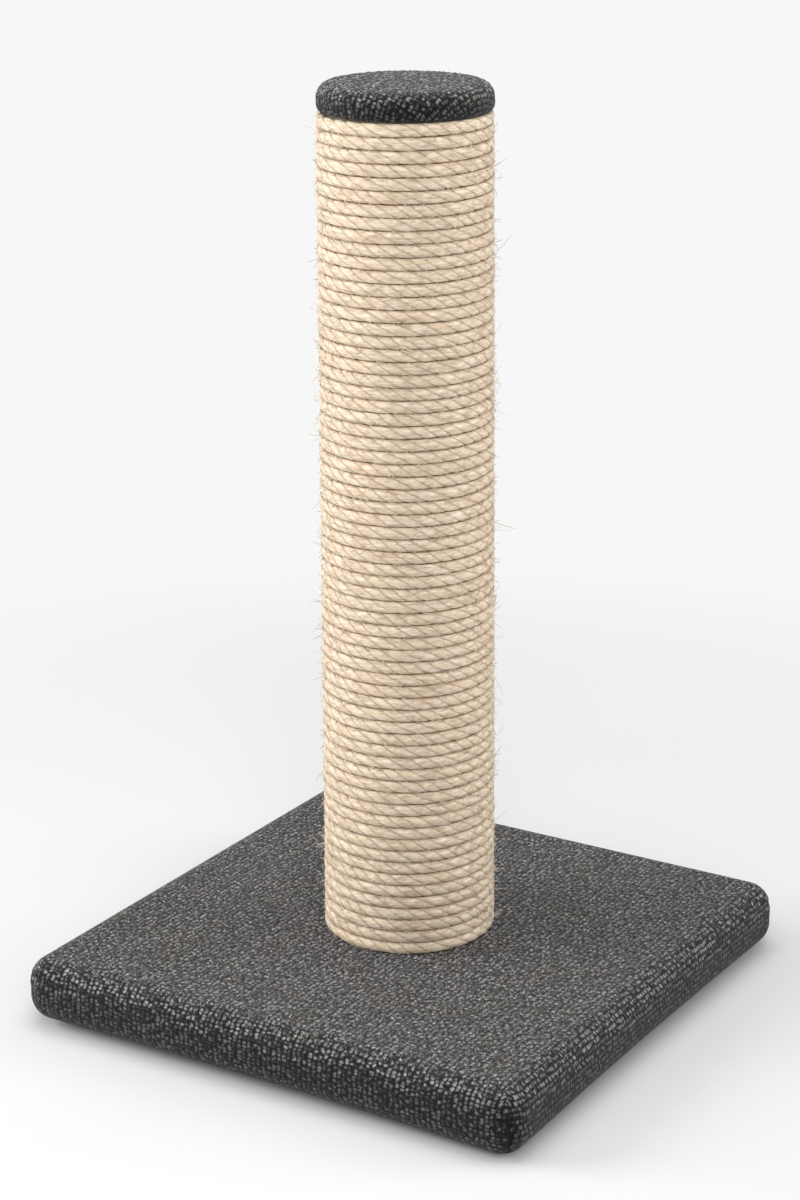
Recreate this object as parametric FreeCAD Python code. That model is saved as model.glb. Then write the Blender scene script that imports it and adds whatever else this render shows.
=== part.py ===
import FreeCAD, Part
import math
import os

# A free-standing cat scratching post: a cardboard tube wound with sisal rope, bolted upright to a
# padded, cloth-covered square base on four rubber feet, under a padded, cloth-covered cap.
# Millimetres, Z up. The origin is on the floor below the middle of the base. X runs to the right
# and Y to the back.

V = FreeCAD.Vector
UP = V(0, 0, 1)
CENTRE = V(0, 0, 0)
QUARTER_TURNS = (0, 90, 180, 270)

# ---- driving dimensions ---------------------------------------------------------------------

# Cloth, on the base and the cap alike.
cloth_thickness = 1.25

# Base. Side and radii are measured over the cloth.
base_side = 300.0
base_edge_radius = 13.5
base_corner_fullness = 1.0      # the plan corners are this much rounder than the edges
base_edge_flat = 0.5            # least straight height between the two rounded edges, each way
board_thickness = 28.0
base_padding_thickness = 4.0
base_padding_stop = 3.0         # the padding ends this far above the board's underside
hem_width = 42.0                # cloth turned under the board, from the base's side

# Staples that hold the base's hem.
staple_wire = 0.7
staple_width = 1.3
staple_crown = 11.0
staple_leg = 10.0
staple_hem_inset = 9.0          # from the hem's raw edge
staple_corner_gap = 22.0        # from the line of the next side's staples
staples_per_side = 5

# Rubber feet and their screws.
foot_stand = 4.0                # rubber that shows below the hem
foot_diameter = 24.0
foot_taper = 1.5                # the radius lost from the board to the floor
foot_rim_chamfer = 0.8
foot_hem_gap = 6.0
screw_diameter = 3.5
screw_length = 16.0
screw_head_diameter = 7.0
screw_head_height = 2.2
screw_head_chamfer = 0.8
screw_head_sink = 0.8           # from the floor up to the head
screw_head_clearance = 0.6

# Bolts, washers and tee nuts, 8 mm thread.
bolt_diameter = 8.0
bolt_head_diameter = 14.0
bolt_head_height = 4.4
bolt_head_chamfer = 2.4
bolt_tip_chamfer = 0.8
key_width = 5.0
key_depth = 2.6
base_bolt_past_nut = 0.25
cap_bolt_past_nut = 4.25
countersunk_diameter = 16.0
countersunk_height = 4.4
hole_clearance = 0.5            # radial, round a bolt that passes through
thread_clearance = 0.1          # radial, between a bolt and its nut
washer_diameter = 24.0
washer_thickness = 2.0
spring_washer_diameter = 14.8
spring_washer_thickness = 2.0
spring_washer_slit = 1.5
counterbore_depth = 12.0
counterbore_clearance = 2.0
nut_barrel_diameter = 10.3
nut_barrel_length = 11.0
nut_flange_diameter = 22.0
nut_flange_thickness = 1.5
prong_length = 7.0
prong_width = 3.4
prong_thickness = 1.4

# Post: tube, end plugs and their pins.
post_height = 437.5             # from the base's top to the cap's underside
tube_diameter = 78.0
tube_wall = 4.0
plug_thickness = 18.0
plug_clearance = 0.2
upper_plug_sink = 1.0           # room for the cap's staples
pin_diameter = 1.6
pin_length = 16.0
pin_sink = 0.3                  # below the tube's face
pins_per_plug = 4
pin_first_angle = 45.0

# Sisal rope, wound in one layer. The upper turns are formed; those below are the plain sleeve
# that they fill. The rope climbs most at the back, where its ends are, and least in front.
rope_diameter = 6.0
rope_turn_gap = 0.5             # between one turn and the next
rope_glue = 0.1                 # between the rope and the tube
rope_end_gap = 0.5              # between the last turn and the cap, and above the plain sleeve
rope_back_angle = 122.0
rope_extra_climb = 0.65         # at the back, as a share of the mean climb, and as much less in front
rope_end_lead = 0.2             # turns from the back to each end of the formed rope
formed_turns = 24
rope_sides = 6
tack_diameter = 1.8
tack_length = 15.0
tack_head_diameter = 4.5
tack_head_height = 0.9
tack_head_sink = 0.2

# Cap. Radii are measured over the cloth.
cap_proud = 0.1                 # past the rope
cap_top_edge_radius = 6.5
cap_lower_edge_radius = 4.5
cap_crown = 1.0                 # rise of the middle above the edge
cap_disc_thickness = 9.0
cap_disc_edge_break = 1.0
cap_padding_thickness = 3.0
cap_padding_stop = 2.0          # the padding ends this far above the disc's underside
cap_hem_width = 14.0
cap_staple_crown = 8.0
cap_staple_leg = 6.0
cap_staple_hem_inset = 3.0
cap_staples = 8

# ---- levels and sizes worked out from them --------------------------------------------------

hem_level = foot_stand
board_bottom = hem_level + cloth_thickness
board_top = board_bottom + board_thickness
padding_top = board_top + base_padding_thickness
base_top = padding_top + cloth_thickness
board_inset = cloth_thickness + base_padding_thickness
edge_radius = min(base_edge_radius, (base_top - hem_level) / 2 - base_edge_flat)
half_side = base_side / 2
hem_line = half_side - hem_width

foot_place = hem_line - foot_hem_gap - foot_diameter / 2
screw_head_level = screw_head_sink + screw_head_height

counterbore_radius = washer_diameter / 2 + counterbore_clearance
counterbore_top = board_bottom + counterbore_depth
washer_bottom = counterbore_top - washer_thickness
spring_washer_bottom = washer_bottom - spring_washer_thickness
bolt_hole_radius = bolt_diameter / 2 + hole_clearance

tube_radius = tube_diameter / 2
tube_bore_radius = tube_radius - tube_wall
cap_level = base_top + post_height
lower_plug_top = base_top + plug_thickness
upper_plug_top = cap_level - upper_plug_sink
upper_plug_bottom = upper_plug_top - plug_thickness

rope_radius = rope_diameter / 2
rope_path_radius = tube_radius + rope_glue + rope_radius
rope_outer_radius = rope_path_radius + rope_radius
rope_pitch = rope_diameter + rope_turn_gap
rope_first_turn = rope_end_lead
rope_last_turn = formed_turns - rope_end_lead
rope_top_level = cap_level - rope_end_gap - rope_radius

cap_radius = rope_outer_radius + cap_proud
cap_disc_bottom = cap_level + cloth_thickness
cap_disc_top = cap_disc_bottom + cap_disc_thickness
cap_disc_radius = cap_radius - cloth_thickness - cap_padding_thickness
cap_edge_top = cap_disc_top + cap_padding_thickness + cloth_thickness
cap_hem_radius = cap_radius - cap_hem_width


# ---- shapes that several pieces share -------------------------------------------------------

def cylinder(radius, bottom, top, x=0.0, y=0.0):
    return Part.makeCylinder(radius, top - bottom, V(x, y, bottom))


def revolved(edges):
    """Solid turned about the Z axis from a closed outline in the XZ plane."""
    return Part.Face(Part.Wire(edges)).revolve(CENTRE, UP, 360)


def line(start, end):
    return Part.makeLine(start, end)


def quarter_arc(centre_x, centre_z, radius, first_angle):
    """Quarter circle in the XZ plane, from first_angle degrees on."""
    points = []
    for step in (0, 45, 90):
        angle = math.radians(first_angle + step)
        points.append(V(centre_x + radius * math.cos(angle), 0, centre_z + radius * math.sin(angle)))
    return Part.Arc(points[0], points[1], points[2]).toShape()


def lowest_edges(shape):
    """Edges that lie flat at the shape's lowest level."""
    level = shape.BoundBox.ZMin
    return [edge for edge in shape.Edges if edge.BoundBox.ZMax - level < cloth_thickness / 10]


def around(shape, count, first_angle=0.0):
    """Copies of shape, evenly spaced about the Z axis."""
    copies = []
    for index in range(count):
        copy = shape.copy()
        copy.rotate(CENTRE, UP, first_angle + index * 360.0 / count)
        copies.append(copy)
    return copies


def hexagon_key(level, height):
    """Hexagonal socket for the key, from level upwards."""
    corner_radius = key_width / math.sqrt(3)
    corners = []
    for index in range(7):
        angle = math.radians(60 * index)
        corners.append(V(corner_radius * math.cos(angle), corner_radius * math.sin(angle), level))
    return Part.Face(Part.makePolygon(corners)).extrude(V(0, 0, height))


def staple(crown, leg):
    """Staple that points up, with its crown below the level z = 0."""
    inside = crown - 2 * staple_wire
    low_side = -staple_width / 2
    outer = Part.makeBox(crown, staple_width, leg + staple_wire, V(-crown / 2, low_side, -staple_wire))
    return outer.cut(Part.makeBox(inside, staple_width, leg, V(-inside / 2, low_side, 0)))


def pilot_holes(staples, level):
    """The part of the staples above level, which is cut out of what they go into."""
    return [one.common(Part.makeBox(base_side, base_side, cap_level, V(-half_side, -half_side, level)))
            for one in staples]


# ---- base -----------------------------------------------------------------------------------

def base_slab(inset, bottom, top):
    """Square slab with rounded corners and edges, inset from the outside of the cloth."""
    side = base_side - 2 * inset
    radius = max(edge_radius - inset, cloth_thickness)
    box = Part.makeBox(side, side, top - bottom, V(-side / 2, -side / 2, bottom))
    uprights = [edge for edge in box.Edges if edge.BoundBox.ZLength > board_thickness / 2]
    rounded = box.makeFillet(radius + base_corner_fullness, uprights)
    rims = [edge for edge in rounded.Edges if edge.BoundBox.ZLength < cloth_thickness]
    return rounded.makeFillet(radius, rims)


def base_staple_group():
    """One row of staples along each side's hem."""
    distance = hem_line + staple_hem_inset
    reach = distance - staple_corner_gap
    group = []
    for index in range(staples_per_side):
        along = -reach + index * 2 * reach / (staples_per_side - 1)
        first = staple(staple_crown, staple_leg + cloth_thickness)
        first.translate(V(along, -distance, hem_level))
        group += around(first, len(QUARTER_TURNS))
    return group


def foot_places():
    return {
        "foot_front_left": (-foot_place, -foot_place),
        "foot_front_right": (foot_place, -foot_place),
        "foot_rear_left": (-foot_place, foot_place),
        "foot_rear_right": (foot_place, foot_place),
    }


def foot_screw(x, y):
    """Screw with a slotted, bevelled head in the foot and its shank in the board."""
    head = cylinder(screw_head_diameter / 2, screw_head_sink, screw_head_level, x, y)
    head = head.makeChamfer(screw_head_chamfer, lowest_edges(head))
    shank = cylinder(screw_diameter / 2, screw_head_level, screw_head_level + screw_length, x, y)
    slot = Part.makeBox(
        screw_head_diameter, screw_head_sink, screw_head_height / 2,
        V(x - screw_head_diameter / 2, y - screw_head_sink / 2, screw_head_sink),
    )
    return head.fuse(shank).cut(slot).removeSplitter()


def foot(x, y):
    """Tapered rubber foot with a recess for its screw's head."""
    floor_radius = foot_diameter / 2 - foot_taper
    body = Part.makeCone(floor_radius, foot_diameter / 2, board_bottom, V(x, y, 0))
    body = body.makeChamfer(foot_rim_chamfer, lowest_edges(body))
    recess_radius = screw_head_diameter / 2 + screw_head_clearance
    body = body.cut(cylinder(recess_radius, 0, screw_head_level, x, y))
    return body.cut(cylinder(screw_diameter / 2, 0, board_bottom, x, y))


def base_board(screws, staples):
    """Chipboard with its edges rounded over, bored from below for the bolt."""
    board = base_slab(board_inset, board_bottom, board_top)
    board = board.cut(cylinder(counterbore_radius, board_bottom, counterbore_top))
    board = board.cut(cylinder(bolt_hole_radius, board_bottom, board_top))
    return board.cut(screws + pilot_holes(staples, board_bottom))


def base_padding():
    """Padding over the board's top and sides, drawn thin round the lower edge."""
    padding = base_slab(cloth_thickness, board_bottom, padding_top)
    padding = padding.cut(base_slab(board_inset, board_bottom, board_top))
    below = Part.makeBox(base_side, base_side, base_padding_stop, V(-half_side, -half_side, board_bottom))
    return padding.cut([below, cylinder(bolt_hole_radius, board_top, padding_top)])


def base_cover(staples):
    """Cloth over the whole base, turned under the board in a hem."""
    cover = base_slab(0, hem_level, base_top)
    cover = cover.cut(base_slab(cloth_thickness, board_bottom, padding_top))
    window = Part.makeBox(2 * hem_line, 2 * hem_line, cloth_thickness, V(-hem_line, -hem_line, hem_level))
    bolt_hole = cylinder(bolt_hole_radius, padding_top, base_top)
    return cover.cut([window, bolt_hole] + pilot_holes(staples, hem_level))


# ---- bolts and nuts -------------------------------------------------------------------------

def base_bolt():
    """Bolt with a bevelled head and a key socket, up through the board into the lower plug."""
    head_bottom = spring_washer_bottom - bolt_head_height
    tip = lower_plug_top + nut_flange_thickness + base_bolt_past_nut
    head = cylinder(bolt_head_diameter / 2, head_bottom, spring_washer_bottom)
    head = head.makeChamfer(bolt_head_chamfer, lowest_edges(head))
    shank = cylinder(bolt_diameter / 2, spring_washer_bottom, tip - bolt_tip_chamfer)
    tip_cone = Part.makeCone(
        bolt_diameter / 2, bolt_diameter / 2 - bolt_tip_chamfer, bolt_tip_chamfer,
        V(0, 0, tip - bolt_tip_chamfer),
    )
    bolt = head.fuse([shank, tip_cone]).removeSplitter()
    return bolt.cut(hexagon_key(head_bottom, key_depth))


def cap_bolt():
    """Flat-headed bolt, down through the cap's disc into the upper plug."""
    tip = upper_plug_bottom - nut_flange_thickness - cap_bolt_past_nut
    head_bottom = cap_disc_top - countersunk_height
    head = Part.makeCone(
        bolt_diameter / 2, countersunk_diameter / 2, countersunk_height, V(0, 0, head_bottom),
    )
    shank = cylinder(bolt_diameter / 2, tip + bolt_tip_chamfer, head_bottom)
    tip_cone = Part.makeCone(
        bolt_diameter / 2 - bolt_tip_chamfer, bolt_diameter / 2, bolt_tip_chamfer, V(0, 0, tip),
    )
    bolt = head.fuse([shank, tip_cone]).removeSplitter()
    return bolt.cut(hexagon_key(cap_disc_top - key_depth, key_depth))


def base_washer():
    ring = cylinder(washer_diameter / 2, washer_bottom, counterbore_top)
    return ring.cut(cylinder(bolt_hole_radius, washer_bottom, counterbore_top))


def spring_washer():
    """Split ring under the bolt's head."""
    outer_radius = spring_washer_diameter / 2
    ring = cylinder(outer_radius, spring_washer_bottom, washer_bottom)
    ring = ring.cut(cylinder(bolt_hole_radius, spring_washer_bottom, washer_bottom))
    slit = Part.makeBox(
        outer_radius, spring_washer_slit, spring_washer_thickness,
        V(0, -spring_washer_slit / 2, spring_washer_bottom),
    )
    return ring.cut(slit)


def tee_nut_outside(level, direction):
    """Tee nut with no bore. Its flange lies on a plug's face at level and its barrel goes into
    the plug in direction, which is 1 for upwards and -1 for downwards."""
    flange = cylinder(nut_flange_diameter / 2, -nut_flange_thickness, 0)
    barrel = cylinder(nut_barrel_diameter / 2, 0, nut_barrel_length)
    prong_radius = nut_flange_diameter / 2 - prong_thickness
    root = [
        V(prong_radius, -prong_width / 2, 0),
        V(prong_radius, prong_width / 2, 0),
        V(prong_radius, 0, prong_length),
        V(prong_radius, -prong_width / 2, 0),
    ]
    prong = Part.Face(Part.makePolygon(root)).extrude(V(prong_thickness, 0, 0))
    prong = prong.common(cylinder(nut_flange_diameter / 2, 0, prong_length))
    nut = flange.fuse([barrel] + around(prong, len(QUARTER_TURNS))).removeSplitter()
    if direction < 0:
        nut.rotate(CENTRE, V(1, 0, 0), 180)
    nut.translate(V(0, 0, level))
    return nut


def tee_nut(outside):
    box = outside.BoundBox
    return outside.cut(cylinder(bolt_diameter / 2 + thread_clearance, box.ZMin, box.ZMax))


# ---- post -----------------------------------------------------------------------------------

def pin_group(bottom):
    """Pins through the tube's wall into the plug whose underside is at bottom."""
    outer_end = tube_radius - pin_sink
    level = bottom + plug_thickness / 2
    pin = Part.makeCylinder(pin_diameter / 2, pin_length, V(outer_end, 0, level), V(-1, 0, 0))
    return around(pin, pins_per_plug, pin_first_angle)


def rope_tack(turn, level):
    """Tack through one end of the rope, the tube and its plug, at turn's place round the post."""
    head_face = rope_path_radius + rope_radius - tack_head_sink
    head = Part.makeCylinder(tack_head_diameter / 2, tack_head_height, V(head_face, 0, level), V(-1, 0, 0))
    shank = Part.makeCylinder(tack_diameter / 2, tack_length, V(head_face, 0, level), V(-1, 0, 0))
    tack = head.fuse(shank).removeSplitter()
    tack.rotate(CENTRE, UP, rope_back_angle + 360 * turn)
    return tack


def plug(bottom, nut_outside, fastenings):
    """Wooden disc inside one end of the tube, bored for the bolt and its tee nut."""
    top = bottom + plug_thickness
    disc = cylinder(tube_bore_radius - plug_clearance, bottom, top)
    disc = disc.cut(cylinder(bolt_hole_radius, bottom, top))
    return disc.cut([nut_outside] + fastenings)


def post_tube(fastenings):
    tube = cylinder(tube_radius, base_top, cap_level)
    return tube.cut([cylinder(tube_bore_radius, base_top, cap_level)] + fastenings)


# ---- rope -----------------------------------------------------------------------------------

def climb(turn):
    """Height wound from turn 0 on. Whole turns are at the back."""
    return rope_pitch * (turn + rope_extra_climb * math.sin(2 * math.pi * turn) / (2 * math.pi))


def helix_point(turn):
    angle = math.radians(rope_back_angle) + 2 * math.pi * turn
    level = rope_top_level - climb(rope_last_turn) + climb(turn)
    return V(rope_path_radius * math.cos(angle), rope_path_radius * math.sin(angle), level)


def helix_direction(turn):
    angle = math.radians(rope_back_angle) + 2 * math.pi * turn
    round_speed = 2 * math.pi * rope_path_radius
    climb_speed = rope_pitch * (1 + rope_extra_climb * math.cos(2 * math.pi * turn))
    return V(-round_speed * math.sin(angle), round_speed * math.cos(angle), climb_speed).normalize()


def tangent_arc(start, corner, end):
    """Arc from start to end, tangent to both lines that meet at corner."""
    to_start = (start - corner).normalize()
    to_end = (end - corner).normalize()
    half_angle = to_start.getAngle(to_end) / 2
    reach = (start - corner).Length
    to_centre = (to_start + to_end).normalize()
    middle = corner + to_centre * (reach / math.cos(half_angle) - reach * math.tan(half_angle))
    return Part.Arc(start, middle, end).toShape()


def biarc(first_turn, last_turn):
    """Two arcs that leave and meet the helix in its own direction at the two turns."""
    start = helix_point(first_turn)
    end = helix_point(last_turn)
    leave = helix_direction(first_turn)
    arrive = helix_direction(last_turn)
    span = end - start
    both = leave + arrive
    square = 4 - both.dot(both)
    linear = span.dot(both)
    reach = (math.sqrt(linear * linear + square * span.dot(span)) - linear) / square
    first_corner = start + leave * reach
    last_corner = end - arrive * reach
    joint = (first_corner + last_corner) * 0.5
    return [tangent_arc(start, first_corner, joint), tangent_arc(joint, last_corner, end)]


def rope_path():
    """The formed turns, in biarcs of about a quarter turn, with a straight run at each end."""
    span = rope_last_turn - rope_first_turn
    count = round(span * len(QUARTER_TURNS))
    turns = [rope_first_turn + span * index / count for index in range(count + 1)]
    start = helix_point(rope_first_turn)
    end = helix_point(rope_last_turn)
    edges = [line(start - helix_direction(rope_first_turn) * rope_diameter, start)]
    for first, last in zip(turns, turns[1:]):
        edges += biarc(first, last)
    edges.append(line(end, end + helix_direction(rope_last_turn) * rope_diameter))
    return Part.Wire(edges)


def rope_section():
    """Regular polygon square to the rope's first run, with its corners at the rope's radius."""
    start = helix_point(rope_first_turn)
    direction = helix_direction(rope_first_turn)
    outward = V(start.x, start.y, 0).normalize()
    sideways = direction.cross(outward).normalize()
    corners = []
    for index in range(rope_sides):
        angle = 2 * math.pi * (index + 0.5) / rope_sides
        offset = outward * math.cos(angle) + sideways * math.sin(angle)
        corners.append(start - direction * rope_diameter + offset * rope_radius)
    return Part.makePolygon(corners + corners[:1])


def distance_to_chord(point, start, end):
    chord = end - start
    share = (point - start).dot(chord) / chord.dot(chord)
    return point.distanceToPoint(start + chord * max(0, min(1, share)))


def least_gap(path, points_per_turn=48):
    """Least distance between the rope's surface and itself, half a turn or more away."""
    points = path.discretize(Number=formed_turns * points_per_turn)
    nearest = rope_path_radius
    for index, point in enumerate(points):
        others = points[index + points_per_turn // 2:index + points_per_turn * 3 // 2]
        for start, end in zip(others, others[1:]):
            nearest = min(nearest, distance_to_chord(point, start, end))
    return nearest - rope_diameter


def formed_rope(tack):
    """The upper turns as one unbroken tube, held by a tack at the rope's upper end."""
    path = rope_path()
    section = rope_section()
    rope = path.makePipeShell([section], True, False)
    expected = Part.Face(section).Area * path.Length
    print("rope: formed length %.1f, volume over section times length %.4f, least gap %.3f"
          % (path.Length, rope.Volume / expected, least_gap(path)))
    return rope.cut(tack)


def plain_rope(tack):
    """Sleeve that the turns below the formed ones fill."""
    sleeve_top = helix_point(rope_first_turn).z - rope_radius - rope_end_gap
    sleeve = cylinder(rope_outer_radius, base_top, sleeve_top)
    bore = cylinder(tube_radius + rope_glue, base_top, sleeve_top)
    return sleeve.cut([bore, tack])


# ---- cap ------------------------------------------------------------------------------------

def cap_body(inset):
    """Pillow-edged round cap, inset from the outside of the cloth."""
    radius = cap_radius - inset
    top_edge = max(cap_top_edge_radius - inset, cloth_thickness)
    lower_edge = max(cap_lower_edge_radius - inset, cloth_thickness)
    bottom = cap_level + inset
    top = cap_edge_top - inset
    shoulder = V(radius - top_edge, 0, top)
    crown = V(0, 0, top + cap_crown)
    crown_radius = (shoulder.x ** 2 + cap_crown ** 2) / (2 * cap_crown)
    halfway = shoulder.x / 2
    sag = crown_radius - math.sqrt(crown_radius ** 2 - halfway ** 2)
    return revolved([
        line(V(0, 0, bottom), V(radius - lower_edge, 0, bottom)),
        quarter_arc(radius - lower_edge, bottom + lower_edge, lower_edge, -90),
        line(V(radius, 0, bottom + lower_edge), V(radius, 0, top - top_edge)),
        quarter_arc(radius - top_edge, top - top_edge, top_edge, 0),
        Part.Arc(shoulder, V(halfway, 0, crown.z - sag), crown).toShape(),
        line(crown, V(0, 0, bottom)),
    ])


def cap_disc_blank():
    disc = cylinder(cap_disc_radius, cap_disc_bottom, cap_disc_top)
    rims = [edge for edge in disc.Edges if edge.BoundBox.ZLength < cap_disc_edge_break]
    return disc.makeChamfer(cap_disc_edge_break, rims)


def cap_disc(bolt, staples):
    """Wooden disc of the cap, countersunk for its bolt."""
    hole = cylinder(bolt_diameter / 2, cap_disc_bottom, cap_disc_top - countersunk_height)
    sink = Part.makeCone(
        bolt_diameter / 2, countersunk_diameter / 2, countersunk_height,
        V(0, 0, cap_disc_top - countersunk_height),
    )
    return cap_disc_blank().cut([hole, sink] + pilot_holes(staples, cap_disc_bottom))


def cap_padding():
    """Padding over the disc's top and side."""
    below = cylinder(cap_radius, cap_disc_bottom, cap_disc_bottom + cap_padding_stop)
    return cap_body(cloth_thickness).cut([cap_disc_blank(), below])


def cap_cover(staples):
    """Cloth over the whole cap, turned under the disc in a hem."""
    window = cylinder(cap_hem_radius, cap_level, cap_disc_bottom)
    return cap_body(0).cut([cap_body(cloth_thickness), window] + pilot_holes(staples, cap_level))


def cap_staple_group():
    first = staple(cap_staple_crown, cap_staple_leg + cloth_thickness)
    first.translate(V(0, -cap_hem_radius - cap_staple_hem_inset, cap_level))
    return around(first, cap_staples)


# ---- the pieces, one file each --------------------------------------------------------------

def save(name, shape):
    shape.exportStep("parts/%s.step" % name)


def group(solids):
    return Part.makeCompound(solids)


def main():
    os.makedirs("parts", exist_ok=True)

    base_staples = base_staple_group()
    foot_screws = [foot_screw(x, y) for x, y in foot_places().values()]
    save("base_board", base_board(foot_screws, base_staples))
    save("base_padding", base_padding())
    save("base_cover", base_cover(base_staples))
    save("base_staples", group(base_staples))
    for name, (x, y) in foot_places().items():
        save(name, foot(x, y))
    save("foot_screws", group(foot_screws))
    save("base_bolt", base_bolt())
    save("base_washer", base_washer())
    save("spring_washer", spring_washer())

    lower_nut = tee_nut_outside(lower_plug_top, -1)
    upper_nut = tee_nut_outside(upper_plug_bottom, 1)
    lower_pins = pin_group(base_top)
    upper_pins = pin_group(upper_plug_bottom)
    half_run = rope_radius / (2 * math.pi * rope_path_radius)
    upper_tack = rope_tack(rope_last_turn + half_run, rope_top_level)
    lower_tack = rope_tack(rope_first_turn - half_run, base_top + rope_radius)
    save("lower_tee_nut", tee_nut(lower_nut))
    save("upper_tee_nut", tee_nut(upper_nut))
    save("lower_plug", plug(base_top, lower_nut, lower_pins + [lower_tack]))
    save("upper_plug", plug(upper_plug_bottom, upper_nut, upper_pins + [upper_tack]))
    save("plug_pins", group(lower_pins + upper_pins))
    save("post_tube", post_tube(lower_pins + upper_pins + [lower_tack, upper_tack]))
    save("rope_tacks", group([lower_tack, upper_tack]))
    save("sisal_rope_upper", formed_rope(upper_tack))
    save("sisal_rope_lower", plain_rope(lower_tack))

    staples = cap_staple_group()
    bolt = cap_bolt()
    save("cap_bolt", bolt)
    save("cap_disc", cap_disc(bolt, staples))
    save("cap_padding", cap_padding())
    save("cap_cover", cap_cover(staples))
    save("cap_staples", group(staples))


main()
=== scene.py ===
import math

import bpy
import numpy as np
from mathutils import Matrix, Vector


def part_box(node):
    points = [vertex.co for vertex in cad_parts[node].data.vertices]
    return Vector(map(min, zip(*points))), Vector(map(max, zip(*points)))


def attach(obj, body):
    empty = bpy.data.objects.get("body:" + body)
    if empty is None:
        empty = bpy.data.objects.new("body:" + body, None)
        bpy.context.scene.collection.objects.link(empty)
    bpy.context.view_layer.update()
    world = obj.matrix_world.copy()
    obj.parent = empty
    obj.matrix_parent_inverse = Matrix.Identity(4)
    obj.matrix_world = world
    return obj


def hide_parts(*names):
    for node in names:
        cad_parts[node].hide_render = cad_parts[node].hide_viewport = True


# Looks of a cat scratching post: woven cloth over the base and the cap, three-strand sisal rope
# round the post with its loose fibres, wadding under the cloth, and the finish of each hard
# piece. Metres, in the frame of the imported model.

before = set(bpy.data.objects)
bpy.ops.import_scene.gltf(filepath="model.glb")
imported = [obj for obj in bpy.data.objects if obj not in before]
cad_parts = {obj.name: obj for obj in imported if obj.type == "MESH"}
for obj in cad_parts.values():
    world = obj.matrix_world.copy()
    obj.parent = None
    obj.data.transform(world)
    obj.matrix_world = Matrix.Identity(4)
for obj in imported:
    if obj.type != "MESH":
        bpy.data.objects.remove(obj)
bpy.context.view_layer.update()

MM = 0.001
random = np.random.default_rng(67)

# ---- sizes that the frame doesn't give ----

cloth_thickness = 1.25 * MM
cloth_step = 2.0 * MM  # of the cloth's mesh
side_step = 1.0 * MM  # down the base's sides
lining_step = 6.0 * MM  # of the layers inside and underneath
least_edge_steps = 4  # round an edge, and round half a corner
weld_scale = 1e7  # points that agree to 0.1 micrometres are one
nub_width = 3.0 * MM  # of the weave: across, along and out of the cloth
nub_length = 2.0 * MM
nub_relief = 0.45 * MM
nub_wander = 0.35 * MM  # of the rows of nubs, to either side
base_edge_radius = 13.5 * MM
base_corner_fullness = 1.0 * MM  # the plan corners are this much rounder than the edges
base_hem_width = 42.0 * MM
base_padding_stop = 3.0 * MM  # up from the board's underside
base_fold_depth = 1.15 * MM  # of the cloth at each corner
base_fold_start = 8.0 * MM  # from the top down to where the fold begins
base_fold_run = 9.0 * MM  # from there to its full depth
base_fold_width = 0.05  # radians round the corner
base_ruffle_width = 0.45
base_roll_depth = 0.8 * MM  # of the line under the padded edge
base_roll_width = 1.4 * MM
base_roll_drop = 10.5 * MM  # from the top down to that line
corner_sag = {(1, -1): 2.6 * MM, (1, 1): 1.7 * MM, (-1, 1): 1.2 * MM, (-1, -1): 0.4 * MM}
corner_sag_start = 12.0 * MM  # from the top down to where the folded layers hang lower
corner_sag_reach = 75.0 * MM  # from the corner along the sides
top_wave_depth = 0.11 * MM
top_wave_margin = 12.0 * MM  # in which the waves die away towards the edges

rope_width_bottom = 6.6 * MM  # away from the tube; it is pulled tighter higher up
rope_width_top = 5.1 * MM
rope_squareness = 3.4  # 2 is an ellipse; turns pressed together are squarer
rope_lay = 27.0 * MM  # length in which a strand goes once round the rope
strand_count = 3
strand_groove = 0.085  # its depth, as a share of the rope's radius
strand_groove_width = 0.20  # radians
strand_columns = (0.0, 0.15, 0.38, 0.70, 1.05, 1.40, 1.72, 1.95)  # radians from a groove
strand_streak_shift = 40.0 * MM  # between the streaks of one strand and the next
fibre_lay = 1.12  # 1 lays the fibres along the rope, 0 along its strands
rope_ring_step = 1.8 * MM
rope_back_angle = math.radians(122)  # where the rope ends
rope_extra_climb = 0.65  # at the back, as a share of the mean; as much less in front
rope_end_lead = 0.2  # turns from the back to each end
rope_turn_count = 67
rope_clearance = 0.1 * MM  # to the tube, the base and each next turn
rope_end_gap = 0.2 * MM  # to the cap
rope_level_wander = 0.07 * MM
rope_radius_wander = 0.05 * MM
formed_turns = 24  # in sisal_rope_upper
open_side_press = 0.8  # the end turns' free sides get less of the painted gap shade

hair_sides = 3
lying_hair_points = 6
loose_hair_points = 7
hair_margin = 0.03  # metres of rope without loose hairs at each end
crossing_margin = 0.3
hair_clearance = 0.15 * MM  # to the base and the cap
hair_sink = 0.5 * MM  # by which a loose hair may lie inside the rope's width

cap_draw = 0.7 * MM  # by which the stretched cloth draws in
cap_top_edge_radius = 7.5 * MM
cap_lower_edge_radius = 3.0 * MM
cap_crown = 1.0 * MM  # of the top's middle over its edge
cap_hem_width = 14.0 * MM
cap_padding_stop = 2.0 * MM  # up from the disc's underside
cap_columns = 384
cap_step = 0.72 * MM

# ---- places taken from the frame ----

base_low, base_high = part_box("base_cover")
board_low, board_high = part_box("base_board")
cap_low, cap_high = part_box("cap_cover")
disc_low, disc_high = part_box("cap_disc")
tube_low, tube_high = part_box("post_tube")

half_side = base_high.x
hem_level = base_low.z
base_top = base_high.z
tube_radius = tube_high.x
cap_radius = cap_high.x - cap_draw
cap_level = cap_low.z
rope_mean_radius = tube_radius + rope_clearance + (rope_width_bottom + rope_width_top) / 4
rope_pitch = (cap_level - rope_end_gap - base_top) / rope_turn_count
base_corner_centre = half_side - base_edge_radius - base_corner_fullness


# ---- meshes ----

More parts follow.
